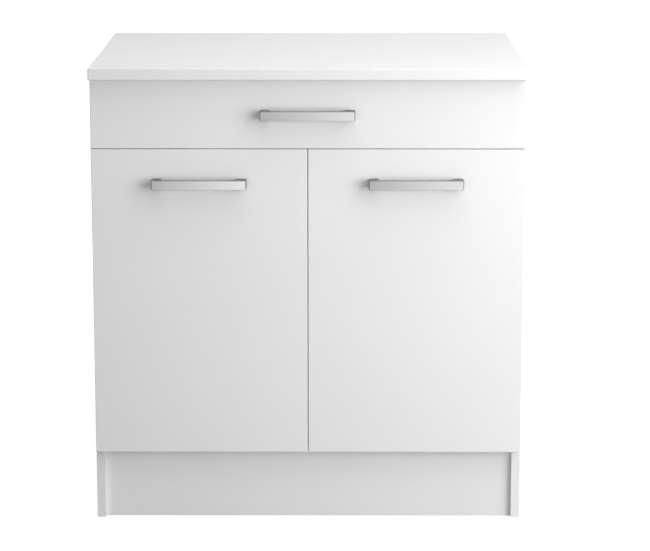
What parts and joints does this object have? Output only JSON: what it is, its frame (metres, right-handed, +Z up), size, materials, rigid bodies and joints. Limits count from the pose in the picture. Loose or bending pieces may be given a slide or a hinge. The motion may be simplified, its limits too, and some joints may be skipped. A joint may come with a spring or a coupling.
{
  "type": "kitchen base cabinet",
  "caption": "White kitchen base cabinet: worktop, one drawer over a pair of hinged doors with a shelf behind them, flat bow handles and a recessed plinth.",
  "frame": {"origin": "on the floor, at the middle of the cabinet's width and overall depth", "axes": "+X to the right as seen from the front, +Y to the back, +Z up"},
  "size_m": [0.8, 0.608, 0.86],
  "materials": {
    "white_board": "white melamine, satin",
    "white_hardboard": "hardboard, lacquered white on the side seen from inside and raw brown on the other",
    "handle_steel": "brushed along the bar",
    "runner_paint": "white powder coat",
    "hinge_nickel": "nickel plate, satin",
    "zinc_fittings": "zinc plate",
    "nylon": "natural nylon",
    "bumper_rubber": "pale soft rubber",
    "beech": "plain beech"
  },
  "bodies": {
    "carcass": {"back_panel": "white_hardboard", "bottom_panel": "white_board", "cam_bolts": "zinc_fittings", "cam_discs": "zinc_fittings", "front_top_rail": "white_board", "hinge_plate_screws": "zinc_fittings", "left_hinge_plates": "hinge_nickel", "left_runner_rail": "runner_paint", "left_side_panel": "white_board", "lower_left_hinge_arm": "hinge_nickel", "lower_right_hinge_arm": "hinge_nickel", "plinth": "white_board", "rear_top_rail": "white_board", "right_hinge_plates": "hinge_nickel", "right_runner_rail": "runner_paint", "right_side_panel": "white_board", "runner_screws": "zinc_fittings", "shelf": "white_board", "shelf_pins": "nylon", "upper_left_hinge_arm": "hinge_nickel", "upper_right_hinge_arm": "hinge_nickel", "wood_dowels": "beech", "worktop": "white_board", "worktop_screws": "zinc_fittings"},
    "drawer": {"drawer_back": "white_board", "drawer_back_screws": "zinc_fittings", "drawer_bottom": "white_hardboard", "drawer_bumpers": "bumper_rubber", "drawer_cam_bolts": "zinc_fittings", "drawer_cams": "zinc_fittings", "drawer_front": "white_board", "drawer_handle": "handle_steel", "drawer_handle_screws": "zinc_fittings", "drawer_left_side": "white_board", "drawer_right_side": "white_board", "left_drawer_slide": "runner_paint", "right_drawer_slide": "runner_paint", "slide_screws": "zinc_fittings"},
    "left_door": {"left_door": "white_board", "left_door_bumper": "bumper_rubber", "left_door_handle": "handle_steel", "left_door_handle_screws": "zinc_fittings", "left_hinge_cup_screws": "zinc_fittings", "left_hinge_pins": "hinge_nickel", "lower_left_hinge_cup": "hinge_nickel", "upper_left_hinge_cup": "hinge_nickel"},
    "right_door": {"lower_right_hinge_cup": "hinge_nickel", "right_door": "white_board", "right_door_bumper": "bumper_rubber", "right_door_handle": "handle_steel", "right_door_handle_screws": "zinc_fittings", "right_hinge_cup_screws": "zinc_fittings", "right_hinge_pins": "hinge_nickel", "upper_right_hinge_cup": "hinge_nickel"},
    "left_rail_roller": {"left_rail_roller": "nylon"},
    "right_rail_roller": {"right_rail_roller": "nylon"},
    "left_slide_roller": {"left_slide_roller": "nylon"},
    "right_slide_roller": {"right_slide_roller": "nylon"}
  },
  "joints": [
    {"name": "drawer_travel", "type": "slide", "parent": "carcass", "child": "drawer", "axis": [0, -1, 0], "range_m": [0, 0.34]},
    {"name": "left_door_swing", "type": "hinge", "parent": "carcass", "child": "left_door", "pos_m": [-0.39087, -0.268, 0.42], "axis": [0, 0, -1], "range_deg": [0, 95]},
    {"name": "right_door_swing", "type": "hinge", "parent": "carcass", "child": "right_door", "pos_m": [0.39087, -0.268, 0.42], "axis": [0, 0, 1], "range_deg": [0, 95]},
    {"name": "left_rail_roller_turn", "type": "hinge", "parent": "carcass", "child": "left_rail_roller", "pos_m": [-0.3789, -0.2425, 0.731], "axis": [1, 0, 0], "range_deg": [0, 2060]},
    {"name": "left_slide_roller_turn", "type": "hinge", "parent": "drawer", "child": "left_slide_roller", "pos_m": [-0.3766, 0.1775, 0.731], "axis": [1, 0, 0], "range_deg": [0, 2060]},
    {"name": "right_rail_roller_turn", "type": "hinge", "parent": "carcass", "child": "right_rail_roller", "pos_m": [0.3789, -0.2425, 0.731], "axis": [1, 0, 0], "range_deg": [0, 2060]},
    {"name": "right_slide_roller_turn", "type": "hinge", "parent": "drawer", "child": "right_slide_roller", "pos_m": [0.3766, 0.1775, 0.731], "axis": [1, 0, 0], "range_deg": [0, 2060]}
  ],
  "couplings": [
    {"joint": "left_rail_roller_turn", "follows": "drawer_travel", "rad_per_m": 105.26},
    {"joint": "left_slide_roller_turn", "follows": "drawer_travel", "rad_per_m": 105.26},
    {"joint": "right_rail_roller_turn", "follows": "drawer_travel", "rad_per_m": 105.26},
    {"joint": "right_slide_roller_turn", "follows": "drawer_travel", "rad_per_m": 105.26}
  ]
}
